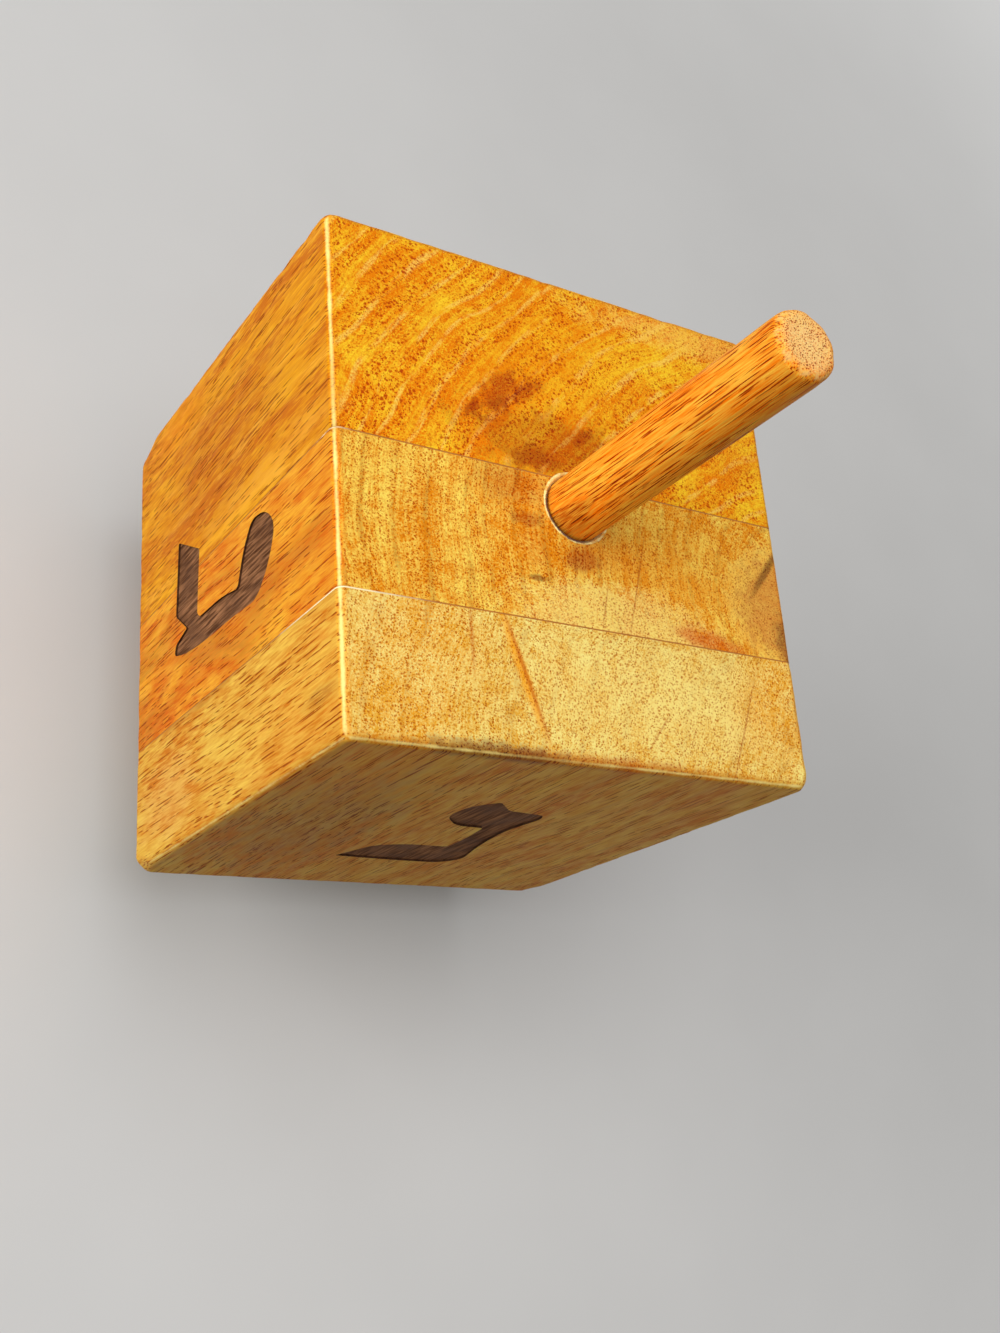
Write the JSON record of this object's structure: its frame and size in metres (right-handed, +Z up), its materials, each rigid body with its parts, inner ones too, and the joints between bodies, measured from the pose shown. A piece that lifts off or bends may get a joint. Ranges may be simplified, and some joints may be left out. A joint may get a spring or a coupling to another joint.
{
  "type": "dreidel",
  "caption": "Wooden dreidel: a cube block glued from boards, with a dowel handle on top, a pyramid point below to spin on and a traditional letter on each side.",
  "frame": {"origin": "the tip of the point that the top spins on, on the axis of the block and handle", "axes": "+Z up along the spin axis to the handle, -Y out of the front board's side, +X to the right seen from there"},
  "size_m": [0.1, 0.1, 0.1929],
  "materials": {
    "front_board": "oiled, straight dark pores",
    "middle_board": "oiled, fine pores",
    "back_board": "oiled, banded rings",
    "handle": "oiled, long dark pores",
    "wood_glue": "dried wood glue"
  },
  "bodies": {
    "root": {"front_board": "front_board", "middle_board": "middle_board", "back_board": "back_board", "front_glue_line": "wood_glue", "back_glue_line": "wood_glue", "handle": "handle", "handle_glue": "wood_glue"}
  },
  "joints": []
}
